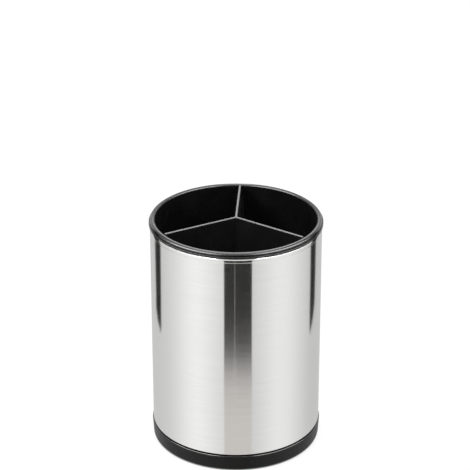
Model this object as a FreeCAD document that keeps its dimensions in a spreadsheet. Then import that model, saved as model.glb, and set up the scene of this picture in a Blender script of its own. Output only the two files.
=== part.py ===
import FreeCAD, Part
import math
import os

import Sketcher

# Rotating utensil crock: a brushed steel tube with a moulded rim, a lift-out liner with a lift-out
# three-way divider, standing on a ball-bearing turntable in a weighted base.
# Millimetres, +Z up, origin at the centre of the circle that the crock stands on.

NAMED_SIZES = [
    # steel sleeve
    ("sleeve_radius", 63.0, "outside of the steel wall"),
    ("sleeve_height", 159.8, "lower edge up to the shoulder that carries the trim ring"),
    ("sheet_thickness", 0.6, "steel sheet"),
    ("sleeve_edge_round", 0.1, "rounding of the lower edge"),
    ("band_height", 3.4, "raised band below the shoulder"),
    ("band_proud", 0.2, "how far the band stands out of the wall"),
    ("band_step", 0.4, "slope from the wall out to the band"),
    ("turn_height", 1.7, "top of the band, which turns in to the shoulder"),
    ("turn_depth", 0.72, "how far it turns in"),
    ("turn_rise", 0.19, "rise of that arc"),
    ("neck_step", 0.65, "how far the neck is set in from the wall"),
    ("neck_height", 0.5, "neck above the shoulder"),
    # trim ring
    ("fit_clearance", 0.1, "between pieces that are fixed to each other"),
    ("trim_overhang", 0.85, "how far the trim stands out beyond the steel wall"),
    ("trim_round", 0.15, "outer upper edge of the trim"),
    ("trim_lip_width", 0.5, "raised outer lip"),
    ("trim_lip_height", 0.25, "lip above the ledge"),
    ("trim_lip_round", 0.1, "inner upper edge of the lip"),
    ("trim_ledge_thickness", 0.7, "web over the neck, which carries the liner"),
    ("trim_leg_thickness", 0.6, "inner leg, inside the neck"),
    ("trim_leg_depth", 6.5, "inner leg below the shoulder"),
    # liner cup
    ("liner_clearance", 0.35, "between liner and trim, so that it lifts out"),
    ("liner_wall", 1.4, "wall of the cup"),
    ("liner_floor", 2.0, "floor of the cup"),
    ("liner_taper", 1.5, "radius that the cup loses from ledge to floor"),
    ("liner_floor_round", 3.0, "inside corner of the floor"),
    ("liner_heel_round", 3.5, "outside corner of the floor"),
    ("liner_floor_gap", 2.8, "air between the pivot screw's head and the cup"),
    ("flange_height", 2.85, "rim's top above the ledge"),
    ("flange_edge", 1.5, "thickness of the flange at its outer edge"),
    ("flange_groove", 0.25, "shadow groove between flange and trim lip"),
    ("flange_land", 1.7, "level top of the flange, from the mouth outwards"),
    ("flange_crown", 0.32, "rise of the arc from the edge to the level top"),
    ("flange_round", 0.4, "outer upper edge of the flange"),
    ("mouth_round", 1.4, "inner edge of the mouth"),
    ("guide_depth", 2.6, "how far the guide ribs stand in from the wall"),
    ("guide_width", 1.2, "thickness of a guide rib"),
    ("guide_root", 0.6, "how deep a guide rib is rooted in the wall"),
    ("guide_drop", 14.0, "rim's top down to the ribs"),
    ("guide_lead", 5.2, "sloped upper end of a rib"),
    # divider
    ("divider_wall", 1.8, "each of its walls"),
    ("divider_clearance", 0.3, "between divider and liner"),
    ("divider_drop", 0.05, "rim's top down to the divider's top"),
    ("divider_round", 0.4, "upper edges"),
    ("divider_hub_round", 1.8, "corners where the walls meet"),
    ("divider_notch", 1.0, "extra cut at the lower corners, past the liner's inside corner"),
    # turntable plate
    ("plate_lip_height", 0.8, "lip that the sleeve stands on"),
    ("plate_lip_inset", 0.4, "lip set in from the steel wall"),
    ("plate_deck", 2.5, "level deck of the plate"),
    ("plate_spigot_height", 8.0, "collar inside the sleeve"),
    ("plate_spigot_wall", 2.0, "wall of the collar"),
    ("plate_spigot_round", 1.0, "inside corner of the collar"),
    ("plate_hub_wall", 4.5, "boss round the pivot"),
    ("running_gap", 0.4, "between the turning plate and the base"),
    # ball bearing
    ("ball_radius", 2.5, "bearing balls"),
    ("ball_clearance", 0.1, "between a ball and its track"),
    ("ball_count", 12, "number of balls"),
    ("pocket_clearance", 0.2, "between a ball and its pocket in the cage"),
    ("cage_thickness", 1.4, "flat cage"),
    ("cage_clearance", 0.3, "between the cage and the tracks"),
    ("cage_rim", 1.3, "cage beside a pocket"),
    ("track_inset", 18.0, "steel wall in to the circle that the balls run on"),
    ("track_land", 2.4, "track ring beside the groove"),
    ("track_height", 3.0, "track ring above the base's floor"),
    # base housing
    ("base_height", 12.0, "outer face of the base"),
    ("base_overhang", 0.65, "upper edge of the base out from the steel wall"),
    ("base_taper", 0.75, "radius that the base loses towards its foot"),
    ("base_wall", 2.0, "wall of the base"),
    ("base_floor", 2.7, "floor of the base"),
    ("base_top_round", 0.7, "upper outer edge"),
    ("base_foot_round", 1.7, "lower outer edge"),
    ("boss_wall", 4.0, "boss round the screw"),
    ("boss_height", 5.5, "boss above the floor"),
    # non-slip ring
    ("foot_proud", 0.3, "rubber below the base"),
    ("foot_sunk", 1.0, "rubber let into the base"),
    ("foot_width", 6.0, "rubber ring across"),
    ("foot_inset", 4.95, "lower edge of the base in to the rubber"),
    ("foot_round", 0.3, "lower edges of the rubber"),
    # pivot screw and washer
    ("screw_radius", 2.0, "threaded end in the base"),
    ("screw_length", 5.0, "threaded end below the shoulder"),
    ("pivot_radius", 3.0, "shoulder that the plate turns on"),
    ("pivot_clearance", 0.06, "running fit of the plate on the shoulder"),
    ("pivot_play", 0.1, "end play under the washer"),
    ("head_radius", 5.5, "screw's head"),
    ("head_height", 2.2, "screw's head"),
    ("head_round", 0.6, "screw's head"),
    ("socket_radius", 2.2, "hexagon socket, centre to corner"),
    ("socket_depth", 1.4, "hexagon socket"),
    ("washer_radius", 8.0, "outside of the washer"),
    ("washer_thickness", 1.0, "washer"),
    # ballast ring
    ("ballast_height", 5.0, "steel weight"),
    ("ballast_gap", 2.5, "weight in from the track ring"),
    ("ballast_round", 0.8, "upper edges of the weight"),
]

FRONT_TURN = 122.7    # degrees from the divider's rear wall to each front wall
HEX_SIDES = 6         # sides of the screw's socket
FULL_TURN = 360.0     # degrees
NEAR = 1e-4           # edges are picked within this share of their own size


class Size:
    """A length that carries its value now and the expression that gives it in the document."""

    def __init__(self, text, value):
        self.text = text
        self.value = value

    def __add__(self, other):
        return Size(f"({self.text} + {other.text})", self.value + other.value)

    def __sub__(self, other):
        return Size(f"({self.text} - {other.text})", self.value - other.value)

    def __mul__(self, factor):
        return Size(f"({self.text} * {factor})", self.value * factor)

    def __truediv__(self, factor):
        return Size(f"({self.text} / {factor})", self.value / factor)


def bulge_radius(chord, rise):
    """Radius of an arc from its chord and its rise."""
    text = f"(({chord.text})^2 / (8 * {rise.text}) + {rise.text} / 2)"
    return Size(text, chord.value ** 2 / (8 * rise.value) + rise.value / 2)


def slope_length(run, rise):
    """Length of a straight line from its run and its rise."""
    text = f"sqrt(({run.text})^2 + ({rise.text})^2)"
    return Size(text, math.hypot(run.value, rise.value))


doc = FreeCAD.newDocument("UtensilCrock")
sheet = doc.addObject("Spreadsheet::Sheet", "Sizes")
for row, (alias, value, note) in enumerate(NAMED_SIZES, 1):
    sheet.set(f"A{row}", alias)
    sheet.set(f"B{row}", str(value))
    sheet.set(f"C{row}", note)
    sheet.setAlias(f"B{row}", alias)
doc.recompute()

ZERO = Size("0", 0.0)


def size(alias):
    return Size(f"Sizes.{alias}", float(sheet.get(alias)))


# Heights, from the table up.
base_bottom = size("foot_proud")
base_deck = base_bottom + size("base_floor")
base_top = base_bottom + size("base_height")
plate_bottom = base_top + size("running_gap")
plate_deck = plate_bottom + size("plate_deck")
sleeve_bottom = plate_bottom + size("plate_lip_height")
shoulder = sleeve_bottom + size("sleeve_height")
neck_top = shoulder + size("neck_height")
ledge = neck_top + size("fit_clearance") + size("trim_ledge_thickness")
rim_top = ledge + size("flange_height")
track_top = base_deck + size("track_height")
cage_bottom = track_top + size("cage_clearance")
cage_top = cage_bottom + size("cage_thickness")
ball_level = cage_bottom + size("cage_thickness") / 2
plate_track_bottom = cage_top + size("cage_clearance")
boss_top = base_deck + size("boss_height")
washer_bottom = plate_deck + size("pivot_play")
head_bottom = washer_bottom + size("washer_thickness")
head_top = head_bottom + size("head_height")
liner_bottom = head_top + size("liner_floor_gap")
liner_deck = liner_bottom + size("liner_floor")

# Radii, from the steel wall in.
wall = size("sleeve_radius")
sleeve_bore = wall - size("sheet_thickness")
neck_radius = wall - size("neck_step")
neck_bore = neck_radius - size("sheet_thickness")
trim_radius = wall + size("trim_overhang")
trim_lip = trim_radius - size("trim_lip_width")
trim_leg = neck_bore - size("fit_clearance")
trim_bore = trim_leg - size("trim_leg_thickness")
liner_radius = trim_bore - size("liner_clearance")
liner_foot = liner_radius - size("liner_taper")
mouth = liner_radius - size("liner_wall")
flange_radius = trim_lip - size("flange_groove")
ball_circle = wall - size("track_inset")
track_radius = size("ball_radius") + size("ball_clearance")
track_inner = ball_circle - track_radius - size("track_land")
track_outer = ball_circle + track_radius + size("track_land")
base_radius = wall + size("base_overhang")
base_foot = base_radius - size("base_taper")
foot_outer = base_foot - size("foot_inset")
foot_inner = foot_outer - size("foot_width")
pivot_bore = size("pivot_radius") + size("pivot_clearance")


def liner_inside(height):
    """Inside radius of the liner at a height: the wall leans in by the taper from ledge to floor."""
    lean = size("liner_taper").text
    text = f"({mouth.text} - {lean} * ({ledge.text} - {height.text}) / ({ledge.text} - {liner_bottom.text}))"
    share = (ledge.value - height.value) / (ledge.value - liner_bottom.value)
    return Size(text, mouth.value - size("liner_taper").value * share)


def new_body(label):
    body = doc.addObject("PartDesign::Body", label)
    body.Label = label
    body.Placement = FreeCAD.Placement()
    return body


def origin_feature(body, role):
    return next(feature for feature in body.Origin.OriginFeatures if feature.Role == role)


def new_sketch(body, name, plane, offset=None):
    """Empty sketch on one of the body's own planes, moved off it by offset."""
    sketch = body.newObject("Sketcher::SketchObject", name)
    sketch.AttachmentSupport = [(origin_feature(body, plane), "")]
    sketch.MapMode = "FlatFace"
    if offset is not None:
        sketch.setExpression(".AttachmentOffset.Base.z", offset.text)
    return sketch


def pin_point(sketch, edge, end, x, y):
    """Hold one end of an edge at sizes of the sheet; zero puts it on the axis."""
    for kind, length, axis in (("DistanceX", x, -2), ("DistanceY", y, -1)):
        if length.value == 0:
            sketch.addConstraint(Sketcher.Constraint("PointOnObject", edge, end, axis))
            continue
        index = sketch.addConstraint(Sketcher.Constraint(kind, -1, 1, edge, end, length.value))
        sketch.setExpression(f"Constraints[{index}]", length.text)


def draw_outline(sketch, corners):
    """Closed outline. Each corner is (x, y) or, where an arc starts there, (x, y, rise of the arc)."""
    spots = [FreeCAD.Vector(corner[0].value, corner[1].value, 0) for corner in corners]
    ends = []
    for place, corner in enumerate(corners):
        start = spots[place]
        following = (place + 1) % len(corners)
        end = spots[following]
        if len(corner) == 2:
            edge = sketch.addGeometry(Part.LineSegment(start, end), False)
            ends.append((1, 2))
            continue
        rise = corner[2]
        chord = end - start
        aside = FreeCAD.Vector(chord.y, -chord.x, 0).normalize()
        edge = sketch.addGeometry(Part.Arc(start, (start + end) / 2 + aside * rise.value, end), False)
        forward = sketch.Geometry[edge].StartPoint.distanceToPoint(start) < chord.Length / 2
        ends.append((1, 2) if forward else (2, 1))
        span = slope_length(corners[following][0] - corner[0], corners[following][1] - corner[1])
        radius = bulge_radius(span, rise)
        index = sketch.addConstraint(Sketcher.Constraint("Radius", edge, radius.value))
        sketch.setExpression(f"Constraints[{index}]", radius.text)
    for place, corner in enumerate(corners):
        before = place - 1 if place else len(corners) - 1
        joined = Sketcher.Constraint("Coincident", before, ends[before][1], place, ends[place][0])
        sketch.addConstraint(joined)
        pin_point(sketch, place, ends[place][0], corner[0], corner[1])


def draw_circle(sketch, x, y, radius):
    centre = FreeCAD.Vector(x.value, y.value, 0)
    edge = sketch.addGeometry(Part.Circle(centre, FreeCAD.Vector(0, 0, 1), radius.value), False)
    index = sketch.addConstraint(Sketcher.Constraint("Radius", edge, radius.value))
    sketch.setExpression(f"Constraints[{index}]", radius.text)
    pin_point(sketch, edge, 3, x, y)


def turned(body, name, corners):
    """Solid turned about the upright axis from an outline of (radius, height)."""
    sketch = new_sketch(body, name + "_outline", "XZ_Plane")
    draw_outline(sketch, corners)
    solid = body.newObject("PartDesign::Revolution", name)
    solid.Profile = sketch
    solid.ReferenceAxis = (sketch, ["V_Axis"])
    solid.Angle = FULL_TURN
    doc.recompute()
    return solid


def ball_track(body, name):
    """Round groove that the balls run in."""
    sketch = new_sketch(body, name + "_outline", "XZ_Plane")
    draw_circle(sketch, ball_circle, ball_level, track_radius)
    groove = body.newObject("PartDesign::Groove", name)
    groove.Profile = sketch
    groove.ReferenceAxis = (sketch, ["V_Axis"])
    groove.Angle = FULL_TURN
    doc.recompute()
    return groove


def repeated(body, name, features, count_text, angle=FULL_TURN, backwards=False):
    """Copies of features round the upright axis."""
    pattern = body.newObject("PartDesign::PolarPattern", name)
    pattern.Originals = features
    pattern.Axis = (origin_feature(body, "Z_Axis"), [""])
    pattern.Angle = angle
    pattern.Reversed = backwards
    pattern.setExpression("Occurrences", count_text)
    body.Tip = pattern
    doc.recompute()
    return pattern


def on_front_walls(body, name, features):
    """Copies of the rear wall's features at the left and the right front wall."""
    repeated(body, name + "_left", features, "2", FRONT_TURN)
    return repeated(body, name + "_right", features, "2", FRONT_TURN, True)


def ring_edges(feature, places):
    """Names of the round edges that lie at the given (radius, height) places."""
    names = []
    for number, edge in enumerate(feature.Shape.Edges, 1):
        if not isinstance(edge.Curve, Part.Circle):
            continue
        for radius, height in places:
            reach = NEAR * (radius.value + height.value)
            off = max(abs(edge.Curve.Radius - radius.value), abs(edge.Curve.Center.z - height.value))
            if off < reach:
                names.append(f"Edge{number}")
    return names


def rounded(body, name, feature, radius, edges):
    fillet = body.newObject("PartDesign::Fillet", name)
    fillet.Base = (feature, edges)
    fillet.setExpression("Radius", radius.text)
    doc.recompute()
    return fillet


def rounded_rings(body, name, feature, radius, places):
    return rounded(body, name, feature, radius, ring_edges(feature, places))


def make_steel_sleeve():
    body = new_body("steel_sleeve")
    sheet_metal = size("sheet_thickness")
    band = wall + size("band_proud")
    band_bottom = shoulder - size("band_height")
    turn_bottom = shoulder - size("turn_height")
    inner_shoulder = shoulder - sheet_metal
    tube = turned(body, "sleeve_tube", [
        (wall, sleeve_bottom),
        (wall, band_bottom),
        (band, band_bottom + size("band_step")),
        (band, turn_bottom, size("turn_rise")),
        (band - size("turn_depth"), shoulder),
        (neck_radius, shoulder),
        (neck_radius, neck_top),
        (neck_bore, neck_top),
        (neck_bore, inner_shoulder),
        (sleeve_bore, inner_shoulder),
        (sleeve_bore, sleeve_bottom),
    ])
    rounded_rings(body, "lower_edge", tube, size("sleeve_edge_round"), [(wall, sleeve_bottom)])
    return body


def make_trim_ring():
    body = new_body("trim_ring")
    trim_top = ledge + size("trim_lip_height")
    slot_outer = neck_radius + size("fit_clearance")
    slot_top = neck_top + size("fit_clearance")
    leg_bottom = shoulder - size("trim_leg_depth")
    ring = turned(body, "trim_section", [
        (trim_radius, shoulder),
        (trim_radius, trim_top),
        (trim_lip, trim_top),
        (trim_lip, ledge),
        (trim_bore, ledge),
        (trim_bore, leg_bottom),
        (trim_leg, leg_bottom),
        (trim_leg, slot_top),
        (slot_outer, slot_top),
        (slot_outer, shoulder),
    ])
    ring = rounded_rings(body, "trim_outer_edge", ring, size("trim_round"), [(trim_radius, trim_top)])
    rounded_rings(body, "trim_inner_edge", ring, size("trim_lip_round"), [(trim_lip, trim_top)])
    return body


def guide_rib(body, name, side):
    """One rib of a pair beside the rear divider wall: side is 1 or -1, right or left of the wall."""
    channel = size("divider_wall") / 2 + size("divider_clearance")
    near = channel if side > 0 else ZERO - channel - size("guide_width")
    sketch = new_sketch(body, name + "_outline", "YZ_Plane", near)
    rib_top = rim_top - size("guide_drop")
    rib_root = liner_deck - size("guide_root")
    draw_outline(sketch, [
        (liner_inside(rib_root) - size("guide_depth"), rib_root),
        (liner_inside(rib_root) + size("guide_root"), rib_root),
        (liner_inside(rib_top) + size("guide_root"), rib_top),
        (liner_inside(rib_top), rib_top),
        (liner_inside(rib_top) - size("guide_depth"), rib_top - size("guide_lead")),
    ])
    rib = body.newObject("PartDesign::Pad", name)
    rib.Profile = sketch
    rib.setExpression("Length", size("guide_width").text)
    doc.recompute()
    return rib


def make_liner_cup():
    body = new_body("liner_cup")
    floor_radius = liner_inside(liner_deck)
    land = mouth + size("flange_land")
    edge_top = ledge + size("flange_edge")
    cup = turned(body, "cup_wall", [
        (ZERO, liner_bottom),
        (liner_foot, liner_bottom),
        (liner_radius, ledge),
        (flange_radius, ledge),
        (flange_radius, edge_top, size("flange_crown")),
        (land, rim_top),
        (mouth, rim_top),
        (mouth, ledge),
        (floor_radius, liner_deck),
        (ZERO, liner_deck),
    ])
    cup = rounded_rings(body, "cup_heel", cup, size("liner_heel_round"), [(liner_foot, liner_bottom)])
    cup = rounded_rings(body, "cup_mouth", cup, size("mouth_round"), [(mouth, rim_top)])
    cup = rounded_rings(body, "flange_edge", cup, size("flange_round"), [(flange_radius, edge_top)])
    cup = rounded_rings(body, "cup_floor", cup, size("liner_floor_round"), [(floor_radius, liner_deck)])
    ribs = [guide_rib(body, "guide_right", 1), guide_rib(body, "guide_left", -1)]
    on_front_walls(body, "guides", ribs)
    return body


def make_divider():
    body = new_body("divider")
    top = rim_top - size("divider_drop")
    clear = size("divider_clearance")
    notch = size("liner_floor_round") + size("divider_notch")
    sketch = new_sketch(body, "wall_outline", "YZ_Plane")
    low_end = liner_inside(liner_deck + notch) - clear
    draw_outline(sketch, [
        (ZERO, liner_deck),
        (low_end - notch, liner_deck),
        (low_end, liner_deck + notch),
        (mouth - clear, ledge),
        (mouth - clear, top),
        (ZERO, top),
    ])
    rear_wall = body.newObject("PartDesign::Pad", "rear_wall")
    rear_wall.Profile = sketch
    rear_wall.setExpression("Length", size("divider_wall").text)
    rear_wall.SideType = "Symmetric"
    doc.recompute()
    walls = on_front_walls(body, "front_wall", [rear_wall])
    hub_reach = size("divider_wall").value
    hub = []
    for number, edge in enumerate(walls.Shape.Edges, 1):
        low, high = edge.Vertexes[0].Point, edge.Vertexes[-1].Point
        upright = math.hypot(low.x - high.x, low.y - high.y) < NEAR * hub_reach
        if upright and math.hypot(low.x, low.y) < hub_reach:
            hub.append(f"Edge{number}")
    hubbed = rounded(body, "hub_corners", walls, size("divider_hub_round"), hub)
    rim = []
    for number, edge in enumerate(hubbed.Shape.Edges, 1):
        if all(abs(vertex.Z - top.value) < NEAR * top.value for vertex in edge.Vertexes):
            rim.append(f"Edge{number}")
    rounded(body, "upper_edges", hubbed, size("divider_round"), rim)
    return body


def make_turntable_plate():
    body = new_body("turntable_plate")
    lip = wall - size("plate_lip_inset")
    spigot = sleeve_bore - size("fit_clearance")
    collar_bore = spigot - size("plate_spigot_wall")
    collar_top = sleeve_bottom + size("plate_spigot_height")
    hub_bottom = boss_top + size("running_gap")
    hub_radius = pivot_bore + size("plate_hub_wall")
    plate = turned(body, "plate_section", [
        (lip, plate_bottom),
        (lip, sleeve_bottom),
        (spigot, sleeve_bottom),
        (spigot, collar_top),
        (collar_bore, collar_top),
        (collar_bore, plate_deck),
        (pivot_bore, plate_deck),
        (pivot_bore, hub_bottom),
        (hub_radius, hub_bottom),
        (hub_radius, plate_bottom),
        (track_inner, plate_bottom),
        (track_inner, plate_track_bottom),
        (track_outer, plate_track_bottom),
        (track_outer, plate_bottom),
    ])
    corner = [(collar_bore, plate_deck)]
    rounded_rings(body, "collar_corner", plate, size("plate_spigot_round"), corner)
    ball_track(body, "plate_track")
    return body


def make_base_housing():
    body = new_body("base_housing")
    groove_top = base_bottom + size("foot_sunk")
    groove_outer = foot_outer + size("fit_clearance")
    groove_inner = foot_inner - size("fit_clearance")
    inside_top = base_radius - size("base_wall")
    inside_foot = base_foot - size("base_wall")
    boss_bore = size("screw_radius") + size("fit_clearance")
    boss = boss_bore + size("boss_wall")
    bore_bottom = boss_top - size("screw_length") - size("fit_clearance")
    dish = turned(body, "base_section", [
        (ZERO, base_bottom),
        (groove_inner, base_bottom),
        (groove_inner, groove_top),
        (groove_outer, groove_top),
        (groove_outer, base_bottom),
        (base_foot, base_bottom),
        (base_radius, base_top),
        (inside_top, base_top),
        (inside_foot, base_deck),
        (track_outer, base_deck),
        (track_outer, track_top),
        (track_inner, track_top),
        (track_inner, base_deck),
        (boss, base_deck),
        (boss, boss_top),
        (boss_bore, boss_top),
        (boss_bore, bore_bottom),
        (ZERO, bore_bottom),
    ])
    dish = rounded_rings(body, "base_upper_edge", dish, size("base_top_round"), [(base_radius, base_top)])
    rounded_rings(body, "base_lower_edge", dish, size("base_foot_round"), [(base_foot, base_bottom)])
    ball_track(body, "base_track")
    return body


def make_non_slip_ring():
    body = new_body("non_slip_ring")
    top = size("foot_proud") + size("foot_sunk")
    ring = turned(body, "rubber_section", [
        (foot_inner, ZERO),
        (foot_outer, ZERO),
        (foot_outer, top),
        (foot_inner, top),
    ])
    corners = [(foot_inner, ZERO), (foot_outer, ZERO)]
    rounded_rings(body, "rubber_edges", ring, size("foot_round"), corners)
    return body


def make_ballast_ring():
    body = new_body("ballast_ring")
    boss = size("screw_radius") + size("fit_clearance") + size("boss_wall")
    inner = boss + size("fit_clearance")
    outer = track_inner - size("ballast_gap")
    top = base_deck + size("ballast_height")
    ring = turned(body, "ballast_section", [
        (inner, base_deck),
        (outer, base_deck),
        (outer, top),
        (inner, top),
    ])
    rounded_rings(body, "ballast_edges", ring, size("ballast_round"), [(inner, top), (outer, top)])
    return body


def make_ball_cage():
    body = new_body("ball_cage")
    pocket_radius = size("ball_radius") + size("pocket_clearance")
    inner = ball_circle - pocket_radius - size("cage_rim")
    outer = ball_circle + pocket_radius + size("cage_rim")
    turned(body, "cage_ring", [
        (inner, cage_bottom),
        (outer, cage_bottom),
        (outer, cage_top),
        (inner, cage_top),
    ])
    sketch = new_sketch(body, "pocket_outline", "XY_Plane", cage_top)
    draw_circle(sketch, ball_circle, ZERO, pocket_radius)
    pocket = body.newObject("PartDesign::Pocket", "pocket")
    pocket.Profile = sketch
    pocket.setExpression("Length", size("cage_thickness").text)
    doc.recompute()
    repeated(body, "pockets", [pocket], size("ball_count").text)
    return body


def make_bearing_balls():
    balls = []
    count = int(size("ball_count").value)
    for number in range(count):
        ball = doc.addObject("Part::Sphere", f"ball_{number + 1}")
        angle = f"({number} * 360deg / {size('ball_count').text})"
        ball.setExpression("Radius", size("ball_radius").text)
        ball.setExpression(".Placement.Base.x", f"{ball_circle.text} * cos({angle})")
        ball.setExpression(".Placement.Base.y", f"{ball_circle.text} * sin({angle})")
        ball.setExpression(".Placement.Base.z", ball_level.text)
        balls.append(ball)
    group = doc.addObject("Part::Compound", "bearing_balls")
    group.Label = "bearing_balls"
    group.Links = balls
    return group


def make_pivot_screw():
    body = new_body("pivot_screw")
    shoulder_radius = size("pivot_radius")
    tip = boss_top - size("screw_length")
    screw = turned(body, "screw_section", [
        (ZERO, tip),
        (size("screw_radius"), tip),
        (size("screw_radius"), boss_top),
        (shoulder_radius, boss_top),
        (shoulder_radius, head_bottom),
        (size("head_radius"), head_bottom),
        (size("head_radius"), head_top),
        (ZERO, head_top),
    ])
    edge = [(size("head_radius"), head_top)]
    rounded_rings(body, "head_edge", screw, size("head_round"), edge)
    sketch = new_sketch(body, "socket_outline", "XY_Plane", head_top)
    corner = size("socket_radius")
    spots = []
    for number in range(HEX_SIDES):
        angle = 2 * math.pi * number / HEX_SIDES
        spots.append(FreeCAD.Vector(math.cos(angle), math.sin(angle), 0) * corner.value)
    for number in range(HEX_SIDES):
        sketch.addGeometry(Part.LineSegment(spots[number], spots[(number + 1) % HEX_SIDES]), False)
    ring = sketch.addGeometry(Part.Circle(FreeCAD.Vector(), FreeCAD.Vector(0, 0, 1), corner.value), True)
    sketch.addConstraint(Sketcher.Constraint("Coincident", ring, 3, -1, 1))
    for number in range(HEX_SIDES):
        sketch.addConstraint(Sketcher.Constraint("Coincident", number, 2, (number + 1) % HEX_SIDES, 1))
        sketch.addConstraint(Sketcher.Constraint("PointOnObject", number, 1, ring))
        if number:
            sketch.addConstraint(Sketcher.Constraint("Equal", 0, number))
    sketch.addConstraint(Sketcher.Constraint("PointOnObject", 0, 1, -1))
    index = sketch.addConstraint(Sketcher.Constraint("Radius", ring, corner.value))
    sketch.setExpression(f"Constraints[{index}]", corner.text)
    socket = body.newObject("PartDesign::Pocket", "socket")
    socket.Profile = sketch
    socket.setExpression("Length", size("socket_depth").text)
    doc.recompute()
    return body


def make_pivot_washer():
    body = new_body("pivot_washer")
    turned(body, "washer_section", [
        (pivot_bore, washer_bottom),
        (size("washer_radius"), washer_bottom),
        (size("washer_radius"), head_bottom),
        (pivot_bore, head_bottom),
    ])
    return body


parts = [
    make_base_housing(),
    make_non_slip_ring(),
    make_ballast_ring(),
    make_pivot_screw(),
    make_pivot_washer(),
    make_ball_cage(),
    make_bearing_balls(),
    make_turntable_plate(),
    make_steel_sleeve(),
    make_trim_ring(),
    make_liner_cup(),
    make_divider(),
]
doc.recompute()

for item in doc.Objects:
    if "Invalid" in item.State or "Error" in item.State:
        raise RuntimeError(f"{item.Label} failed: {item.State}")
for part in parts:
    if part.Shape.isNull() or not part.Shape.isValid():
        raise RuntimeError(f"{part.Label} has no valid shape")

os.makedirs("parts", exist_ok=True)
for part in parts:
    part.Shape.exportStep(os.path.join("parts", part.Label + ".step"))
    box = part.Shape.BoundBox
    print(f"{part.Label:16s} solids {len(part.Shape.Solids):2d}  volume {part.Shape.Volume:10.1f}"
          f"  radius {box.XMax:7.3f}  z {box.ZMin:8.3f} to {box.ZMax:8.3f}")
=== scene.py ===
import math
import bpy
import bmesh
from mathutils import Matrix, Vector


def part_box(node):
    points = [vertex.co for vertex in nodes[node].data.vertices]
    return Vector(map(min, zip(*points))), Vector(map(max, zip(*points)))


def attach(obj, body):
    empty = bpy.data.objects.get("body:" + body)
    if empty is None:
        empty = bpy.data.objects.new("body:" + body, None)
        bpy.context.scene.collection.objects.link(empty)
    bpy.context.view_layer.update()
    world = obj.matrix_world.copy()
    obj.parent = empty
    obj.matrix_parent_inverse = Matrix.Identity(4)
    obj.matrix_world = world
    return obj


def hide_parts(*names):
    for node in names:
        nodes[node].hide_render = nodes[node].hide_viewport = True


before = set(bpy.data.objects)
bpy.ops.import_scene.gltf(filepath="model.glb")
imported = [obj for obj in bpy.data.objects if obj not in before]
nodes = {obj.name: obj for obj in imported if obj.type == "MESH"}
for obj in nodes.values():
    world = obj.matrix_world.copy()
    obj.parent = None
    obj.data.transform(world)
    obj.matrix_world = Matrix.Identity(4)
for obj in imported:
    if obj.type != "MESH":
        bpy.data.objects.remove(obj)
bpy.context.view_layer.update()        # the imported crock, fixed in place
mm = 0.001
print("frame loaded:", len(nodes), "nodes")

# Outlines and lathe work

latheWork = {
    "turns": 224,            # steps round the axis
    "arcSteps": 6,           # steps round a small corner
    "support": 0.12 * mm,    # extra ring beside a corner, keeps long walls flat in the light
    "longWall": 0.72 * mm,   # only straight stretches above this get such rings
    "axis": 0.001 * mm,      # closer than this counts as on the axis
    "sharp": math.radians(40),
}


def arcBetween(start, end, rise, steps):
    # points of an arc that stands off its chord to the right of start -> end
    start, end = Vector(start), Vector(end)
    chord = end - start
    half = chord.length / 2
    radius = (half * half + rise * rise) / (2 * rise)
    aside = Vector((chord.y, -chord.x)).normalized()
    along = chord.normalized()
    centre = (start + end) / 2 - aside * (radius - rise)
    sweep = 2 * math.asin(min(1.0, half / radius))
    points = []
    for step in range(steps + 1):
        angle = sweep * (step / steps - 0.5)
        point = centre + aside * radius * math.cos(angle) + along * radius * math.sin(angle)
        points.append(tuple(point))
    return points


def roundedOutline(corners, closed):
    # corners are (radius, height) or (radius, height, rounding)
    count = len(corners)
    points = []
    for place, corner in enumerate(corners):
        spot = Vector(corner[:2])
        rounding = corner[2] if len(corner) > 2 else 0.0
        atEnd = not closed and place in (0, count - 1)
        if atEnd or rounding <= 0.0:
            points.append(spot)
            continue
        before = (Vector(corners[place - 1][:2]) - spot).normalized()
        after = (Vector(corners[(place + 1) % count][:2]) - spot).normalized()
        opening = before.angle(after)
        reach = rounding / math.tan(opening / 2)
        centre = spot + (before + after).normalized() * (rounding / math.sin(opening / 2))
        first = spot + before * reach - centre
        last = spot + after * reach - centre
        turn = math.atan2(first.x * last.y - first.y * last.x, first.dot(last))
        for step in range(latheWork["arcSteps"] + 1):
            angle = turn * step / latheWork["arcSteps"]
            cosine, sine = math.cos(angle), math.sin(angle)
            swung = Vector((first.x * cosine - first.y * sine, first.x * sine + first.y * cosine))
            points.append(centre + swung)
    return points


def withSupports(points, closed):
    # rings just inside both ends of every long straight stretch
    full = []
    last = len(points) if closed else len(points) - 1
    for place, point in enumerate(points):
        full.append(point)
        if place >= last:
            continue
        stretch = points[(place + 1) % len(points)] - point
        if stretch.length > latheWork["longWall"]:
            inset = stretch.normalized() * latheWork["support"]
            full.append(point + inset)
            full.append(point + stretch - inset)
    return full


def lathe(name, corners, closed=True):
    # a solid turned about the crock's axis; an outline that isn't closed starts and ends on the axis
    outline = withSupports(roundedOutline(corners, closed), closed)
    turns = latheWork["turns"]
    mesh = bmesh.new()
    rings = []
    for point in outline:
        if abs(point.x) < latheWork["axis"]:
            rings.append([mesh.verts.new((0.0, 0.0, point.y))])
            continue
        ring = []
        for turn in range(turns):
            angle = 2 * math.pi * turn / turns
            ring.append(mesh.verts.new((point.x * math.cos(angle), point.x * math.sin(angle), point.y)))
        rings.append(ring)
    pairs = list(zip(rings, rings[1:]))
    if closed:
        pairs.append((rings[-1], rings[0]))
    for low, high in pairs:
        for turn in range(turns):
            following = (turn + 1) % turns
            if len(low) == 1:
                mesh.faces.new((low[0], high[following], high[turn]))
            elif len(high) == 1:
                mesh.faces.new((low[turn], low[following], high[0]))
            else:
                mesh.faces.new((low[turn], low[following], high[following], high[turn]))
    return finishMesh(name, mesh)


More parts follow.
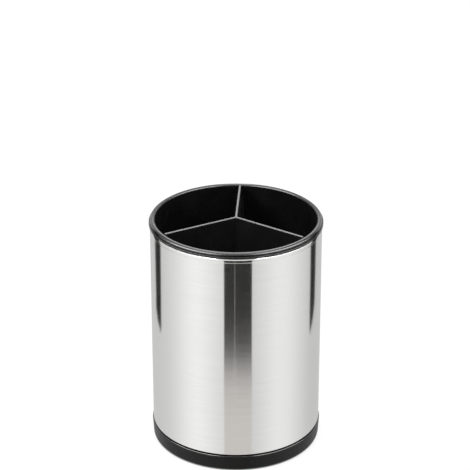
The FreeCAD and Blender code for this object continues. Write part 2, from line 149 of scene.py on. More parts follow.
def smoothShade(data):
    data.polygons.foreach_set("use_smooth", [True] * len(data.polygons))
    data.set_sharp_from_angle(angle=latheWork["sharp"])


def finishMesh(name, mesh):
    bmesh.ops.recalc_face_normals(mesh, faces=mesh.faces)
    data = bpy.data.meshes.new(name)
    mesh.to_mesh(data)
    mesh.free()
    smoothShade(data)
    piece = bpy.data.objects.new(name, data)
    bpy.context.scene.collection.objects.link(piece)
    return piece


def joinWith(piece, addition):
    # fuse two solids into the first
    union = piece.modifiers.new("fuse", "BOOLEAN")
    union.operation = "UNION"
    union.solver = "EXACT"
    union.object = addition
    bpy.context.view_layer.update()
    fused = bpy.data.meshes.new_from_object(piece.evaluated_get(bpy.context.evaluated_depsgraph_get()))
    piece.modifiers.clear()
    piece.data = fused
    bpy.data.objects.remove(addition)
    smoothShade(fused)


def dress(piece, material, body, slot, *replaced):
    piece.data.materials.clear()
    piece.data.materials.append(material)
    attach(piece, body)
    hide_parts(*replaced)


# Node helpers for the finishes

noiseSpan = (0.3, 0.7)       # most of a noise lies between these levels
noiseKinds = {"cloud": (3.0, 0.6), "grain": (2.0, 0.55), "fine": (2.0, 0.5)}     # detail and spread


def newMaterial(name):
    material = bpy.data.materials.new(name)
    material.use_nodes = True
    tree = material.node_tree
    shader = next(node for node in tree.nodes if node.type == "BSDF_PRINCIPLED")
    return material, tree, shader


def addNode(tree, kind, **values):
    node = tree.nodes.new(kind)
    for key, value in values.items():
        setattr(node, key, value)
    return node


def stretchedNoise(tree, scale, kind):
    # noise in the piece's own space; scale is one number per axis
    place = addNode(tree, "ShaderNodeTexCoord")
    stretch = addNode(tree, "ShaderNodeMapping")
    stretch.inputs["Scale"].default_value = scale
    noise = addNode(tree, "ShaderNodeTexNoise")
    detail, spread = noiseKinds[kind]
    noise.inputs["Scale"].default_value = 1.0
    noise.inputs["Detail"].default_value = detail
    noise.inputs["Roughness"].default_value = spread
    tree.links.new(place.outputs["Object"], stretch.inputs["Vector"])
    tree.links.new(stretch.outputs["Vector"], noise.inputs["Vector"])
    return noise.outputs["Fac"]


def evenNoise(tree, scale, kind):
    return stretchedNoise(tree, (scale, scale, scale), kind)


def ranged(tree, source, low, high):
    node = addNode(tree, "ShaderNodeMapRange")
    node.inputs["From Min"].default_value = noiseSpan[0]
    node.inputs["From Max"].default_value = noiseSpan[1]
    node.inputs["To Min"].default_value = low
    node.inputs["To Max"].default_value = high
    tree.links.new(source, node.inputs["Value"])
    return node.outputs["Result"]


def tinted(tree, source, dark, light):
    ramp = addNode(tree, "ShaderNodeValToRGB")
    for element, position, colour in zip(ramp.color_ramp.elements, noiseSpan, (dark, light)):
        element.position = position
        element.color = (*colour, 1.0)
    tree.links.new(source, ramp.inputs["Fac"])
    return ramp.outputs["Color"]


def bumped(tree, shader, source, strength, distance):
    bump = addNode(tree, "ShaderNodeBump")
    bump.inputs["Strength"].default_value = strength
    bump.inputs["Distance"].default_value = distance
    tree.links.new(source, bump.inputs["Height"])
    tree.links.new(bump.outputs["Normal"], shader.inputs["Normal"])


def blackPlastic(name, look):
    # moulded black plastic: fine grain in the bump, patchy gloss, a trace of colour change
    material, tree, shader = newMaterial(name)
    grain = evenNoise(tree, look["grain"], "grain")
    cloud = evenNoise(tree, look["cloud"], "cloud")
    tree.links.new(tinted(tree, cloud, look["dark"], look["light"]), shader.inputs["Base Color"])
    tree.links.new(ranged(tree, cloud, *look["rough"]), shader.inputs["Roughness"])
    shader.inputs["Specular IOR Level"].default_value = look["gloss"]
    bumped(tree, shader, grain, look["bump"], look["bumpDepth"])
    return material


# Steel sleeve: an open tube with a raised band and a stepped neck at the top

sleeve = {
    "sheet": 0.6 * mm,
    "edgeRound": 0.1 * mm,
    "bandHeight": 3.4 * mm,
    "bandProud": 0.2 * mm,
    "bandStep": 0.4 * mm,
    "stepRound": 0.4 * mm,
    "turnHeight": 1.7 * mm,      # the band's upper part, which curves in to the neck
    "turnDepth": 0.72 * mm,
    "turnRise": 0.19 * mm,
    "turnSteps": 12,
    "neckStep": 0.65 * mm,
    "neckHeight": 0.5 * mm,
}
sleeveLook = {
    "dark": (0.725, 0.724, 0.713),
    "light": (0.750, 0.748, 0.737),
    "strokes": (22.0, 22.0, 950.0),       # long round the tube, fine along its height
    "fineStrokes": (45.0, 45.0, 3600.0),
    "rough": (0.115, 0.165),
    "anisotropy": 1.0,
    "strokeTurn": 0.25,                   # a quarter turn from the ring's direction
    "bump": 0.12,
    "bumpDepth": 0.01 * mm,
}


def brushedSteel(look):
    material, tree, shader = newMaterial("brushedSteel")
    strokes = stretchedNoise(tree, look["strokes"], "cloud")
    fine = stretchedNoise(tree, look["fineStrokes"], "fine")
    tree.links.new(tinted(tree, strokes, look["dark"], look["light"]), shader.inputs["Base Color"])
    tree.links.new(ranged(tree, fine, *look["rough"]), shader.inputs["Roughness"])
    shader.inputs["Metallic"].default_value = 1.0
    shader.inputs["Anisotropic"].default_value = look["anisotropy"]
    shader.inputs["Anisotropic Rotation"].default_value = look["strokeTurn"]
    tangent = addNode(tree, "ShaderNodeTangent", direction_type="RADIAL", axis="Z")
    tree.links.new(tangent.outputs["Tangent"], shader.inputs["Tangent"])
    bumped(tree, shader, strokes, look["bump"], look["bumpDepth"])
    return material


def steelWall():
    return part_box("steel_sleeve")[1].x - sleeve["bandProud"]


def steelShoulder():
    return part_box("steel_sleeve")[1].z - sleeve["neckHeight"]


def makeSleeve():
    low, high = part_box("steel_sleeve")
    band, wall, shoulder = high.x, steelWall(), steelShoulder()
    neck = wall - sleeve["neckStep"]
    inside = shoulder - sleeve["sheet"]
    step = shoulder - sleeve["bandHeight"]
    turnFoot = (band, shoulder - sleeve["turnHeight"])
    turnHead = (band - sleeve["turnDepth"], shoulder)
    return lathe("steelSleeve", [
        (wall, low.z, sleeve["edgeRound"]),
        (wall, step, sleeve["stepRound"]),
        (band, step + sleeve["bandStep"], sleeve["stepRound"]),
        *arcBetween(turnFoot, turnHead, sleeve["turnRise"], sleeve["turnSteps"]),
        (neck, shoulder),
        (neck, high.z),
        (neck - sleeve["sheet"], high.z),
        (neck - sleeve["sheet"], inside),
        (wall - sleeve["sheet"], inside),
        (wall - sleeve["sheet"], low.z),
    ])


dress(makeSleeve(), brushedSteel(sleeveLook), "crock", "sleeve_steel", "steel_sleeve")
print("sleeve made")

# Trim ring: caps the steel's upper edge and carries the liner on its ledge

trim = {
    "outerRound": 0.15 * mm,
    "lowerRound": 0.1 * mm,
    "lipRound": 0.1 * mm,
    "lipWidth": 0.5 * mm,
    "lipHeight": 0.25 * mm,
    "ledge": 0.7 * mm,
    "leg": 0.6 * mm,
    "fit": 0.1 * mm,
}
trimLook = {
    "dark": (0.022, 0.022, 0.023), "light": (0.028, 0.028, 0.029), "rough": (0.22, 0.28), "gloss": 0.50,
    "grain": 2600.0, "cloud": 60.0, "bump": 0.03, "bumpDepth": 0.02 * mm,
}


def makeTrim():
    low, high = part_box("trim_ring")
    neck, shoulder = steelWall() - sleeve["neckStep"], steelShoulder()
    ledge = high.z - trim["lipHeight"]
    leg = neck - sleeve["sheet"] - trim["fit"]
    lip = high.x - trim["lipWidth"]
    slotTop = ledge - trim["ledge"]
    return lathe("trimRing", [
        (high.x, shoulder, trim["lowerRound"]),
        (high.x, high.z, trim["outerRound"]),
        (lip, high.z, trim["lipRound"]),
        (lip, ledge),
        (leg - trim["leg"], ledge),
        (leg - trim["leg"], low.z),
        (leg, low.z),
        (leg, slotTop),
        (neck + trim["fit"], slotTop),
        (neck + trim["fit"], shoulder),
    ])


dress(makeTrim(), blackPlastic("rimBlack", trimLook), "crock", "rim_plastic", "trim_ring")
print("trim made")

# Liner cup: tapered cup, crowned flange, three pairs of guide ribs; the divider's sizes set the channels

liner = {
    "wall": 1.4 * mm,
    "floor": 2.0 * mm,
    "taper": 1.5 * mm,
    "floorRound": 3.0 * mm,
    "heelRound": 3.5 * mm,
    "flangeHeight": 2.85 * mm,
    "flangeEdge": 1.5 * mm,
    "land": 1.7 * mm,
    "crown": 0.32 * mm,
    "crownSteps": 14,
    "mouthRound": 1.4 * mm,
    "shoulderRound": 0.4 * mm,
    "edgeRound": 0.15 * mm,
    "guideDepth": 2.6 * mm,
    "guideWidth": 1.2 * mm,
    "guideRoot": 0.6 * mm,       # how far a rib is sunk in the wall and the floor
    "guideDrop": 14.0 * mm,
    "guideLead": 5.2 * mm,
}
linerLook = {
    "dark": (0.004, 0.004, 0.004), "light": (0.006, 0.006, 0.006), "rough": (0.24, 0.30), "gloss": 0.42,
    "grain": 2200.0, "cloud": 45.0, "bump": 0.03, "bumpDepth": 0.02 * mm,
}
divider = {
    "wall": 1.8 * mm,
    "clearance": 0.3 * mm,
    "notch": 4.0 * mm,           # the cut at each wall's lower outer corner
    "hubRound": 1.8 * mm,
    "hubSteps": 6,
    "edgeRound": 0.4 * mm,
    "edgeSteps": 3,
    "edgeAngle": math.radians(50),
    "frontTurn": 122.7,          # degrees from the rear wall to each front wall
}
dividerLook = {
    "dark": (0.009, 0.009, 0.009), "light": (0.012, 0.012, 0.012), "rough": (0.24, 0.28), "gloss": 0.42,
    "grain": 2200.0, "cloud": 50.0, "bump": 0.08, "bumpDepth": 0.03 * mm,
}
wallAngles = [math.radians(90 + turn) for turn in (0, divider["frontTurn"], 360 - divider["frontTurn"])]


def direction(angle):
    return Vector((math.cos(angle), math.sin(angle), 0.0))


def mouthRadius():
    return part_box("divider")[1].y + divider["clearance"]


def linerLedge():
    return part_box("liner_cup")[1].z - liner["flangeHeight"]


def linerInside(height):
    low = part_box("liner_cup")[0]
    return mouthRadius() - liner["taper"] * (linerLedge() - height) / (linerLedge() - low.z)


def addGuide(mesh, angle, side):
    # one rib beside a divider wall; side is 1 or -1
    low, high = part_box("liner_cup")
    top = high.z - liner["guideDrop"]
    root = low.z + liner["floor"] - liner["guideRoot"]
    section = [
        (linerInside(root) - liner["guideDepth"], root),
        (linerInside(root) + liner["guideRoot"], root),
        (linerInside(top) + liner["guideRoot"], top),
        (linerInside(top), top),
        (linerInside(top) - liner["guideDepth"], top - liner["guideLead"]),
    ]
    near = side * (divider["wall"] / 2 + divider["clearance"])
    far = near + side * liner["guideWidth"]
    along, across = direction(angle), direction(angle - math.pi / 2)
    ends = []
    for offset in (near, far):
        corners = [along * radius + across * offset + Vector((0, 0, height)) for radius, height in section]
        ends.append([mesh.verts.new(corner) for corner in corners])
    mesh.faces.new(ends[0])
    mesh.faces.new(list(reversed(ends[1])))
    for place in range(len(section)):
        following = (place + 1) % len(section)
        mesh.faces.new((ends[0][place], ends[1][place], ends[1][following], ends[0][following]))


def makeLiner():
    low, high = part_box("liner_cup")
    mouth, ledge = mouthRadius(), linerLedge()
    outside = mouth + liner["wall"]
    deck = low.z + liner["floor"]
    crownFoot = (high.x, ledge + liner["flangeEdge"])
    crownHead = (mouth + liner["land"], high.z)
    crown = arcBetween(crownFoot, crownHead, liner["crown"], liner["crownSteps"])
    crown[0] += (liner["shoulderRound"],)
    cup = lathe("linerCup", [
        (0.0, low.z),
        (outside - liner["taper"], low.z, liner["heelRound"]),
        (outside, ledge),
        (high.x, ledge, liner["edgeRound"]),
        *crown,
        (mouth, high.z, liner["mouthRound"]),
        (mouth, ledge),
        (linerInside(deck), deck, liner["floorRound"]),
        (0.0, deck),
    ], closed=False)
    ribs = bmesh.new()
    for angle in wallAngles:
        for side in (1, -1):
            addGuide(ribs, angle, side)
    joinWith(cup, finishMesh("linerGuides", ribs))
    return cup


dress(makeLiner(), blackPlastic("linerBlack", linerLook), "liner", "liner_plastic", "liner_cup")
print("liner made")


# Divider: three walls that meet in a rounded hub, ends cut to the liner's taper

def dividerRing(reach):
    # the Y in plan, with its wall ends this far from the axis
    half = divider["wall"] / 2
    ring = []
    for place, angle in enumerate(wallAngles):
        along, left = direction(angle), direction(angle + math.pi / 2)
        ring.append(along * reach - left * half)
        ring.append(along * reach + left * half)
        # hub corner towards the next wall
        opening = (wallAngles[(place + 1) % len(wallAngles)] - angle) % (2 * math.pi)
        middle = angle + opening / 2
        centre = direction(middle) * ((half + divider["hubRound"]) / math.sin(opening / 2))
        for step in range(divider["hubSteps"] + 1):
            swing = middle + math.pi - (step / divider["hubSteps"] - 0.5) * (math.pi - opening)
            ring.append(centre + direction(swing) * divider["hubRound"])
    return ring


def makeDivider():
    low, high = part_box("divider")
    notch = divider["notch"]
    lowEnd = linerInside(low.z + notch) - divider["clearance"]
    highEnd = mouthRadius() - divider["clearance"]
    levels = [(low.z, lowEnd - notch), (low.z + notch, lowEnd), (linerLedge(), highEnd), (high.z, highEnd)]
    mesh = bmesh.new()
    rings = []
    for height, reach in levels:
        rings.append([mesh.verts.new(point + Vector((0, 0, height))) for point in dividerRing(reach)])
    count = len(rings[0])
    for lower, upper in zip(rings, rings[1:]):
        for place in range(count):
            following = (place + 1) % count
            mesh.faces.new((lower[place], lower[following], upper[following], upper[place]))
    mesh.faces.new(rings[-1])
    mesh.faces.new(list(reversed(rings[0])))
    piece = finishMesh("dividerWalls", mesh)
    bevel = piece.modifiers.new("edges", "BEVEL")
    bevel.width = divider["edgeRound"]
    bevel.segments = divider["edgeSteps"]
    bevel.limit_method = "ANGLE"
    bevel.angle_limit = divider["edgeAngle"]
    bevel.harden_normals = True
    return piece


dress(makeDivider(), blackPlastic("dividerBlack", dividerLook), "divider", "divider_plastic", "divider")
print("divider made")

# Base: dish with the ball track and the pivot's boss

base = {
    "overhang": 0.65 * mm,
    "taper": 0.75 * mm,
    "wall": 2.0 * mm,
    "floor": 2.7 * mm,
    "topRound": 0.7 * mm,
    "innerRound": 0.3 * mm,
    "footRound": 1.7 * mm,
    "trackInset": 18.0 * mm,
    "trackHalf": 5.0 * mm,
    "trackHeight": 3.0 * mm,
    "ballLevel": 7.0 * mm,
    "grooveRound": 2.6 * mm,
    "grooveSteps": 10,
    "bossRadius": 6.1 * mm,
    "bossHeight": 5.5 * mm,
    "bossBore": 2.1 * mm,
    "boreDepth": 5.1 * mm,
    "fit": 0.1 * mm,
}
baseLook = {
    "dark": (0.002, 0.002, 0.002), "light": (0.004, 0.004, 0.004), "rough": (0.34, 0.40), "gloss": 0.20,
    "grain": 1100.0, "cloud": 55.0, "bump": 0.20, "bumpDepth": 0.04 * mm,
}
baseEdgeLook = {
    "dark": (0.002, 0.002, 0.002), "light": (0.004, 0.004, 0.004), "rough": (0.08, 0.12), "gloss": 0.55,
    "grain": 1100.0, "cloud": 55.0, "bump": 0.03, "bumpDepth": 0.02 * mm,
}
foot = {"width": 6.0 * mm, "edgeRound": 0.3 * mm}
footLook = {
    "dark": (0.020, 0.020, 0.020), "light": (0.032, 0.031, 0.030), "rough": (0.70, 0.85), "gloss": 0.30,
    "grain": 1500.0, "cloud": 80.0, "bump": 0.2, "bumpDepth": 0.05 * mm,
}


def ballCircle():
    return steelWall() - base["trackInset"]


def trackGroove(level, upwards):
    # the ball track's groove in a ring whose face is at level, listed in the order of that ring's outline
    drop = base["ballLevel"] - level
    half = math.sqrt(base["grooveRound"] ** 2 - drop ** 2)
    inner, outer = (ballCircle() - half, level), (ballCircle() + half, level)
    ends = (outer, inner) if upwards else (inner, outer)
    groove = arcBetween(*ends, base["grooveRound"] - abs(drop), base["grooveSteps"])
    return groove[::-1]


def makeBase():
    low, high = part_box("base_housing")
    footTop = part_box("non_slip_ring")[1]
    top = steelWall() + base["overhang"]
    bottom = top - base["taper"]
    deck = low.z + base["floor"]
    track = deck + base["trackHeight"]
    trackInner, trackOuter = ballCircle() - base["trackHalf"], ballCircle() + base["trackHalf"]
    seatInner, seatOuter = footTop.x - foot["width"] - base["fit"], footTop.x + base["fit"]
    boss = deck + base["bossHeight"]
    bore = boss - base["boreDepth"]
    return lathe("baseHousing", [
        (0.0, low.z),
        (seatInner, low.z),
        (seatInner, footTop.z),
        (seatOuter, footTop.z),
        (seatOuter, low.z),
        (bottom, low.z, base["footRound"]),
        (top, high.z, base["topRound"]),
        (top - base["wall"], high.z, base["innerRound"]),
        (bottom - base["wall"], deck),
        (trackOuter, deck),
        (trackOuter, track),
        *trackGroove(track, upwards=False),
        (trackInner, track),
        (trackInner, deck),
        (base["bossRadius"], deck),
        (base["bossRadius"], boss),
        (base["bossBore"], boss),
        (base["bossBore"], bore),
        (0.0, bore),
    ], closed=False)


def polishTopEdge(piece, finish):
    # the mould's grain stops below the rounded edge
    piece.data.materials.append(finish)
    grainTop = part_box("base_housing")[1].z - base["topRound"]
    for face in piece.data.polygons:
        if face.center.z > grainTop:
            face.material_index = 1


def makeFoot():
    low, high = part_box("non_slip_ring")
    inner = high.x - foot["width"]
    return lathe("nonSlipRing", [
        (inner, low.z, foot["edgeRound"]),
        (high.x, low.z, foot["edgeRound"]),
        (high.x, high.z),
        (inner, high.z),
    ])


housing = makeBase()
dress(housing, blackPlastic("baseBlack", baseLook), "base", "base_plastic", "base_housing")
polishTopEdge(housing, blackPlastic("baseEdgeBlack", baseEdgeLook))
dress(makeFoot(), blackPlastic("footRubber", footLook), "base", "foot_rubber", "non_slip_ring")
print("base made")

# Turntable plate: closes the steel's lower end and turns on the base's balls

plate = {
    "lip": 0.8 * mm,
    "deck": 2.5 * mm,
    "collar": 2.0 * mm,
    "cornerRound": 1.0 * mm,
    "hub": 7.56 * mm,
    "hubBottom": 8.9 * mm,
    "bore": 3.06 * mm,
}
plateLook = {
    "dark": (0.002, 0.002, 0.002), "light": (0.003, 0.003, 0.003), "rough": (0.55, 0.65), "gloss": 0.04,
    "grain": 1800.0, "cloud": 55.0, "bump": 0.12, "bumpDepth": 0.04 * mm,
}


def makePlate():
    low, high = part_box("turntable_plate")
    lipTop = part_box("steel_sleeve")[0].z
    spigot = steelWall() - sleeve["sheet"] - base["fit"]
    bottom = lipTop - plate["lip"]
    deck = bottom + plate["deck"]
    trackInner, trackOuter = ballCircle() - base["trackHalf"], ballCircle() + base["trackHalf"]
    return lathe("turntablePlate", [
        (high.x, bottom),
        (high.x, lipTop),
        (spigot, lipTop),
        (spigot, high.z),
        (spigot - plate["collar"], high.z),
        (spigot - plate["collar"], deck, plate["cornerRound"]),
        (plate["bore"], deck),
        (plate["bore"], plate["hubBottom"]),
        (plate["hub"], plate["hubBottom"]),
        (plate["hub"], bottom),
        (trackInner, bottom),
        (trackInner, low.z),
        *trackGroove(low.z, upwards=True),
        (trackOuter, low.z),
        (trackOuter, bottom),
    ])


dress(makePlate(), blackPlastic("plateBlack", plateLook), "crock", "plate_plastic", "turntable_plate")
print("plate made")

# Inner pieces keep their solids and get a finish

innerLooks = {
    "ballastGrey": {
        "nodes": ["ballast_ring"], "metal": 1.0, "cloud": 300.0,
        "dark": (0.22, 0.22, 0.23), "light": (0.32, 0.32, 0.33), "rough": (0.5, 0.7),
    },
    "zincScrew": {
        "nodes": ["pivot_screw", "pivot_washer"], "metal": 1.0, "cloud": 300.0,
        "dark": (0.62, 0.62, 0.60), "light": (0.74, 0.74, 0.72), "rough": (0.28, 0.392),
    },
    "polishedBall": {
        "nodes": ["bearing_balls"], "metal": 1.0, "cloud": 300.0,
        "dark": (0.74, 0.74, 0.75), "light": (0.80, 0.80, 0.80), "rough": (0.08, 0.112),
    },
    "cageNylon": {
        "nodes": ["ball_cage"], "metal": 0.0, "cloud": 180.0,
        "dark": (0.70, 0.67, 0.60), "light": (0.80, 0.78, 0.72), "rough": (0.45, 0.6),
    },
}


def innerFinish(name, look):
    material, tree, shader = newMaterial(name)
    cloud = evenNoise(tree, look["cloud"], "cloud")
    tree.links.new(tinted(tree, cloud, look["dark"], look["light"]), shader.inputs["Base Color"])
    tree.links.new(ranged(tree, cloud, *look["rough"]), shader.inputs["Roughness"])
    shader.inputs["Metallic"].default_value = look["metal"]
    return material


for name, look in innerLooks.items():
    finish = innerFinish(name, look)
    for node in look["nodes"]:
        nodes[node].data.materials.clear()
        nodes[node].data.materials.append(finish)
print("inner pieces dressed")

# Camera

camera = {
    "azimuth": math.radians(3.0),
    "elevation": math.radians(24.889),
    "distance": 1383.6 * mm,
    "aimHeight": 162.8 * mm,
    "aside": 0.755 * mm,
    "lens": 144.53,
    "sensor": 36.0,
    "clip": (0.01, 50.0),
}


def makeCamera():
    turn, lift = camera["azimuth"], camera["elevation"]
    back = Vector((math.sin(turn) * math.cos(lift), -math.cos(turn) * math.cos(lift), math.sin(lift)))
    right = Vector((math.cos(turn), math.sin(turn), 0.0))
    aim = Vector((0.0, 0.0, camera["aimHeight"])) - right * camera["aside"]
    data = bpy.data.cameras.new("studioCamera")
    data.lens = camera["lens"]
    data.sensor_width = camera["sensor"]
    data.clip_start, data.clip_end = camera["clip"]
    seat = bpy.data.objects.new("studioCamera", data)
    seat.location = aim + back * camera["distance"]
    seat.rotation_mode = "QUATERNION"
    seat.rotation_quaternion = (-back).to_track_quat("-Z", "Y")
    bpy.context.scene.collection.objects.link(seat)
    bpy.context.scene.camera = seat


def aroundCamera(azimuth, distance, height):
    # a place in the studio, its azimuth counted from the camera's, positive to the camera's right
    turn = camera["azimuth"] + math.radians(azimuth)
    return Vector((math.sin(turn) * distance, -math.cos(turn) * distance, height))


makeCamera()
print("camera set")

# Lamps

lampAim = Vector((0.0, 0.0, 0.10))
softboxes = {
    "overhead": {"azimuth": 180, "distance": 0.15, "height": 1.30, "size": (1.1, 0.9), "power": 2.0},
    "rear": {"azimuth": 180, "distance": 1.30, "height": 0.95, "size": (0.6, 0.8), "power": 3.0},
    "left": {"azimuth": -54, "distance": 1.2, "height": 1.15, "size": (0.6, 0.6), "power": 8.5},
    "right": {"azimuth": 54, "distance": 1.2, "height": 1.15, "size": (0.6, 0.6), "power": 3.5},
}


def makeSoftbox(name, box):
    data = bpy.data.lights.new(name, "AREA")
    data.shape = "RECTANGLE"
    data.size, data.size_y = box["size"]
    data.energy = box["power"]
    lamp = bpy.data.objects.new(name, data)
    lamp.location = aroundCamera(box["azimuth"], box["distance"], box["height"])
    lamp.rotation_mode = "QUATERNION"
    lamp.rotation_quaternion = (lampAim - lamp.location).to_track_quat("-Z", "Y")
    bpy.context.scene.collection.objects.link(lamp)


for name, box in softboxes.items():
    makeSoftbox(name + "Softbox", box)
print("lamps hung")

# Floor and surround

surround = {
    "ambient": 0.45,                     # what the surround adds to plain surfaces
    "paper": (0.86, 0.86, 0.86),
    "paperSeen": (0.16, 0.16, 0.16),     # what the camera sees of the paper's shading
    "lift": 0.90,                        # brings the unshaded paper to white for the camera
    "paintedShadeReach": 1.0 * mm,                 # reach of the painted contact shadow where the crock stands on the paper
    "contactSamples": 8,
    "floorReach": 4.0,
    "floorSteps": 96,
    "floorDrop": 0.05 * mm,
    "skyGain": 0.5,                      # how much brighter the polished pieces see the upper half
    "skySpan": (-0.12, 0.35),            # the direction's rise over which that comes in
    "mirrorTop": 1.6,                    # above every level in mirrored, since a ramp's colours end at 1
}
# what polished pieces see, by degrees round from the camera's side, to the right positive
mirrored = [
    (-180, 0.78), (-125, 0.94), (-103, 1.03), (-83, 1.19), (-58, 1.37), (-36, 1.25), (-16, 1.12),
    (8, 1.00), (23, 1.01), (44, 1.17), (63, 1.29), (88, 1.16), (117, 0.92), (180, 0.78),
]


def mathNode(tree, operation, first, second):
    node = addNode(tree, "ShaderNodeMath", operation=operation)
    for place, value in enumerate((first, second)):
        if isinstance(value, (int, float)):
            node.inputs[place].default_value = value
        else:
            tree.links.new(value, node.inputs[place])
    return node.outputs[0]


def mirroredSurround(tree):
    place = addNode(tree, "ShaderNodeTexCoord")
    split = addNode(tree, "ShaderNodeSeparateXYZ")
    tree.links.new(place.outputs["Generated"], split.inputs["Vector"])
    # the direction's turn from the camera's side, as a share of a full circle
    side = aroundCamera(0, 1.0, 0.0)
    towards = mathNode(tree, "ADD", mathNode(tree, "MULTIPLY", split.outputs["X"], side.x),
                       mathNode(tree, "MULTIPLY", split.outputs["Y"], side.y))
    across = mathNode(tree, "SUBTRACT", mathNode(tree, "MULTIPLY", split.outputs["Y"], side.x),
                      mathNode(tree, "MULTIPLY", split.outputs["X"], side.y))
    turn = mathNode(tree, "ARCTAN2", across, towards)
    share = mathNode(tree, "ADD", mathNode(tree, "DIVIDE", turn, 2 * math.pi), 0.5)
    ramp = addNode(tree, "ShaderNodeValToRGB")
    ramp.color_ramp.interpolation = "CARDINAL"
    while len(ramp.color_ramp.elements) < len(mirrored):
        ramp.color_ramp.elements.new(1.0)
    for element, (degrees, level) in zip(ramp.color_ramp.elements, mirrored):
        element.position = degrees / 360 + 0.5
        element.color = (level / surround["mirrorTop"],) * 3 + (1.0,)
    tree.links.new(share, ramp.inputs["Fac"])
    level = mathNode(tree, "MULTIPLY", ramp.outputs["Color"], surround["mirrorTop"])
    sky = addNode(tree, "ShaderNodeMapRange", interpolation_type="SMOOTHSTEP")
    sky.inputs["From Min"].default_value = surround["skySpan"][0]
    sky.inputs["From Max"].default_value = surround["skySpan"][1]
    sky.inputs["To Min"].default_value = 1.0
    sky.inputs["To Max"].default_value = 1.0 + surround["skyGain"]
    tree.links.new(split.outputs["Z"], sky.inputs["Value"])
    return mathNode(tree, "MULTIPLY", level, sky.outputs["Result"])


def mixedShader(tree, factor, first, second):
    mix = addNode(tree, "ShaderNodeMixShader")
    tree.links.new(factor, mix.inputs["Fac"])
    tree.links.new(first, mix.inputs[1])
    tree.links.new(second, mix.inputs[2])
    return mix.outputs[0]


def paperShader(tree, colour):
    paper = addNode(tree, "ShaderNodeBsdfDiffuse")
    paper.inputs["Color"].default_value = (*colour, 1.0)
    return paper.outputs[0]


def makeFloor():
    mesh = bmesh.new()
    reach, steps = surround["floorReach"], surround["floorSteps"]
    bmesh.ops.create_circle(mesh, cap_ends=True, radius=reach, segments=steps)
    floor = finishMesh("studioFloor", mesh)
    floor.location.z = -surround["floorDrop"]
    material, tree, shader = newMaterial("studioPaper")
    output = next(node for node in tree.nodes if node.type == "OUTPUT_MATERIAL")
    tree.nodes.remove(shader)
    path = addNode(tree, "ShaderNodeLightPath")
    # painted contact shadow: ambient occlusion dims the lift's glow close to the crock, darkening the paper
    # there
    near = addNode(tree, "ShaderNodeAmbientOcclusion", samples=surround["contactSamples"])
    near.inputs["Distance"].default_value = surround["paintedShadeReach"]
    lift = addNode(tree, "ShaderNodeEmission")
    brightness = mathNode(tree, "MULTIPLY", near.outputs["AO"], surround["lift"])
    tree.links.new(brightness, lift.inputs["Strength"])
    seen = addNode(tree, "ShaderNodeAddShader")
    tree.links.new(paperShader(tree, surround["paperSeen"]), seen.inputs[0])
    tree.links.new(lift.outputs[0], seen.inputs[1])
    paper = paperShader(tree, surround["paper"])
    byCamera = mixedShader(tree, path.outputs["Is Camera Ray"], paper, seen.outputs[0])
    tree.links.new(byCamera, output.inputs["Surface"])
    floor.data.materials.append(material)
    floor.visible_glossy = False         # polished pieces see the even surround instead


def makeWorld():
    world = bpy.data.worlds.new("studioWorld")
    world.use_nodes = True
    bpy.context.scene.world = world
    tree = world.node_tree
    tree.nodes.clear()
    output = addNode(tree, "ShaderNodeOutputWorld")
    path = addNode(tree, "ShaderNodeLightPath")
    plain = addNode(tree, "ShaderNodeBackground")
    plain.inputs["Strength"].default_value = surround["ambient"]
    white = addNode(tree, "ShaderNodeBackground")
    white.inputs["Strength"].default_value = 1.0
    polished = addNode(tree, "ShaderNodeBackground")
    tree.links.new(mirroredSurround(tree), polished.inputs["Strength"])
    either = mathNode(tree, "MAXIMUM", path.outputs["Is Glossy Ray"], path.outputs["Is Transmission Ray"])
    byMirror = mixedShader(tree, either, plain.outputs[0], polished.outputs[0])
    byCamera = mixedShader(tree, path.outputs["Is Camera Ray"], byMirror, white.outputs[0])
    tree.links.new(byCamera, output.inputs["Surface"])


makeFloor()
makeWorld()
print("floor and surround made")

# Flags and cards that only the polished pieces see

flagSteps = 8
# an outline's points are (degrees round the wall, mm of height); away is how far the flag hangs from the wall
flags = {
    "frontLeft": {"away": 156 * mm, "shade": 0.012, "outline": [
        (-7.8, 3), (-0.9, 3), (-0.9, 165), (-7.8, 165)]},
    "frontRight": {"away": 156 * mm, "shade": 0.012, "outline": [
        (-0.8, 3), (10.3, 3), (10.3, 165), (-0.8, 165)]},
    "left": {"away": 20 * mm, "shade": 0.03, "outline": [
        *arcBetween((-67.8, 115), (-60.2, 87.7), 3.1, flagSteps), (-58.6, 190), (-68.2, 190)]},
    "right": {"away": 20 * mm, "shade": 0.03, "outline": [
        *arcBetween((58.4, 87.4), (65.5, 114), 1.5, flagSteps), (66.1, 190), (57.8, 190)]},
}
# corners are (degrees from the camera's side, distance, height)
cards = {
    "left": {"level": 19.0, "corners": [
        (-100, 1.2, 0.62), (-27, 0.9, 0.55), (-27, 0.9, 1.25), (-100, 1.2, 1.30)]},
    "right": {"level": 16.0, "corners": [
        (27, 0.9, 0.55), (104, 1.2, 0.62), (104, 1.2, 1.30), (27, 0.9, 1.25)]},
    "top": {"level": 4.8, "corners": [
        (-168, 2.45, 1.4), (168, 2.45, 1.4), (63, 0.56, 1.4), (-63, 0.56, 1.4)]},
    "rear": {"level": 0.10, "corners": [
        (170, 1.2, 0.0), (190, 1.2, 0.0), (190, 1.2, 0.55), (170, 1.2, 0.55)]},
    "rearLeft": {"level": 1.6, "corners": [
        (-162, 1.2, 0.12), (-125, 1.2, 0.12), (-125, 1.2, 0.85), (-162, 1.2, 0.85)]},
    "rearRight": {"level": 1.6, "corners": [
        (125, 1.2, 0.12), (162, 1.2, 0.12), (162, 1.2, 0.85), (125, 1.2, 0.85)]},
    "rearFloor": {"level": 0.10, "corners": [
        (165, 0.32, 0.0), (195, 0.32, 0.0), (190, 1.2, 0.0), (170, 1.2, 0.0)]},
}
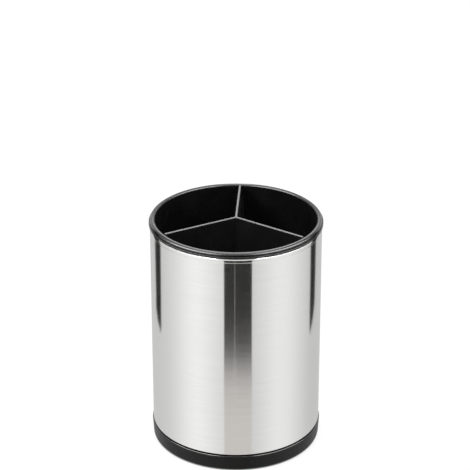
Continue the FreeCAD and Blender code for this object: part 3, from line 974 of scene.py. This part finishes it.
# low grey cards close behind the rim, which keep the bright top card off its rear edge
brim = {"reach": 88 * mm, "low": 185.5 * mm, "high": 211.0 * mm, "level": 0.70, "turns": (128, 150, 173)}
# a warm strip on the floor below the front flags
strip = {
    "columns": (-7.8, 10.3), "away": 156 * mm, "height": 0.02 * mm,
    "level": 0.76, "tint": (1.0, 0.968, 0.932),
}


def flagPoint(column, away, height):
    # where the ray that the steel mirrors at this place round the wall has gone this far, seen in plan
    onWall = aroundCamera(column, steelWall(), 0.0)
    toCamera = bpy.context.scene.camera.location - onWall
    toCamera = Vector((toCamera.x, toCamera.y, 0.0)).normalized()
    outward = onWall.normalized()
    mirroredRay = outward * (2 * outward.dot(toCamera)) - toCamera
    return onWall + mirroredRay * away + Vector((0.0, 0.0, height))


def hangCard(name, corners, level, tint=(1.0, 1.0, 1.0)):
    mesh = bmesh.new()
    mesh.faces.new([mesh.verts.new(corner) for corner in corners])
    card = finishMesh(name, mesh)
    material, tree, shader = newMaterial(name + "Cloth")
    shader.inputs["Base Color"].default_value = (0.0, 0.0, 0.0, 1.0)
    shader.inputs["Specular IOR Level"].default_value = 0.0
    shader.inputs["Emission Color"].default_value = (*tint, 1.0)
    shader.inputs["Emission Strength"].default_value = level
    card.data.materials.append(material)
    card.visible_camera = False
    card.visible_diffuse = False
    card.visible_shadow = False


def hangBrim():
    for side in (1, -1):
        for first, second in zip(brim["turns"], brim["turns"][1:]):
            lower = [aroundCamera(side * turn, brim["reach"], brim["low"]) for turn in (first, second)]
            upper = [aroundCamera(side * turn, brim["reach"], brim["high"]) for turn in (second, first)]
            hangCard("brimCard" + str(side * first), lower + upper, brim["level"])


def hangStrip():
    left, right = strip["columns"]
    places = [(left, 0.0), (right, 0.0), (right, strip["away"]), (left, strip["away"])]
    corners = [flagPoint(column, away, strip["height"]) for column, away in places]
    hangCard("floorStrip", corners, strip["level"], strip["tint"])


for name, flag in flags.items():
    outline = [flagPoint(column, flag["away"], height * mm) for column, height in flag["outline"]]
    hangCard(name + "Flag", outline, flag["shade"])
for name, card in cards.items():
    hangCard(name + "Card", [aroundCamera(*corner) for corner in card["corners"]], card["level"])
hangBrim()
hangStrip()
bpy.context.scene.view_settings.view_transform = "Standard"
print("studio made")
